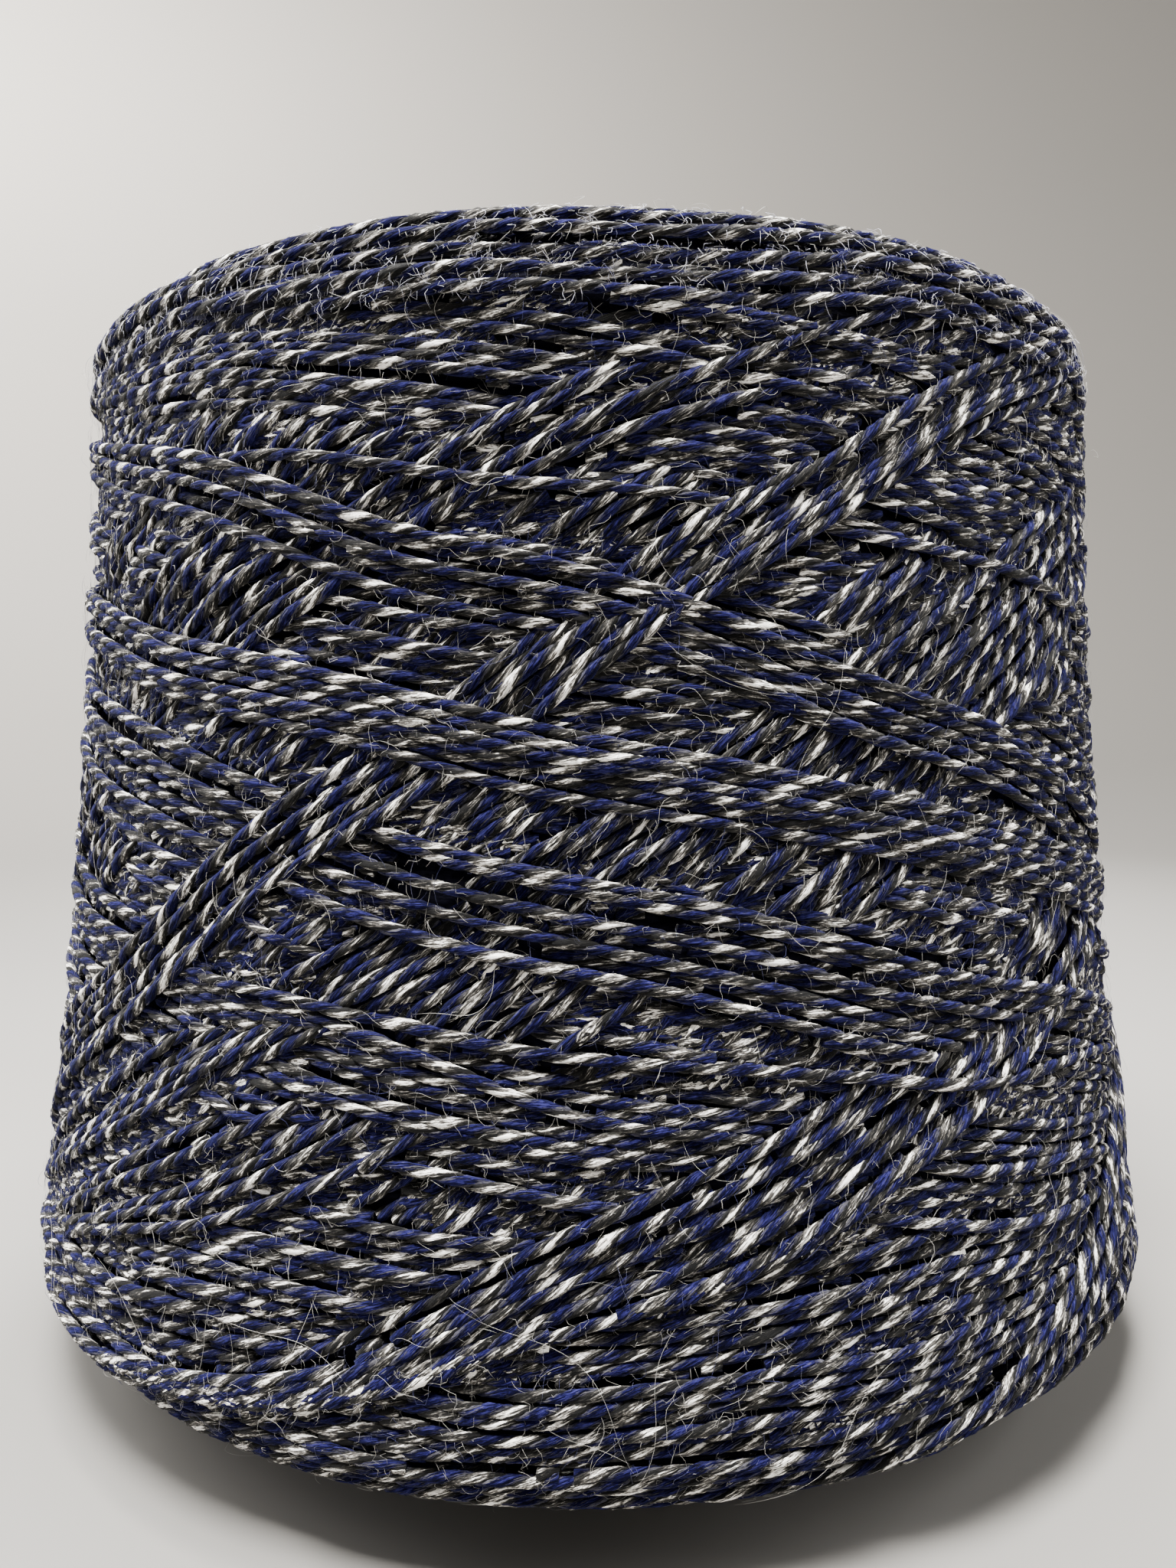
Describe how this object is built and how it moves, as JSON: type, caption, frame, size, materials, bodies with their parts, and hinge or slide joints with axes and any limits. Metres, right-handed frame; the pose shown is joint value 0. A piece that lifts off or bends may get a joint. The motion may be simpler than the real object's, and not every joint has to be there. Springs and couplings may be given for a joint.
{
  "type": "yarn cone",
  "caption": "Large cone of two-ply knitting yarn, cross-wound in criss-crossing turns on a tapered paper cone.",
  "frame": {"origin": "on the cone's axis, in the plane of the paper cone's base rim, which the part stands on", "axes": "+Z along the axis, from the base to the nose; -Y faces the viewer of the front view, and +X is to that viewer's right"},
  "size_m": [0.1803, 0.1804, 0.17],
  "materials": {
    "paper": "matte rolled paper board with a spiral seam",
    "yarn_inner": "soft matte yarn in shade between the outer strands",
    "yarn_outer": "two-ply yarn, one navy ply and one light grey ply, matte and hairy"
  },
  "bodies": {
    "root": {"paper_cone": "paper", "inner_yarn_layers": "yarn_inner", "outer_yarn_layer": "yarn_outer"}
  },
  "joints": []
}
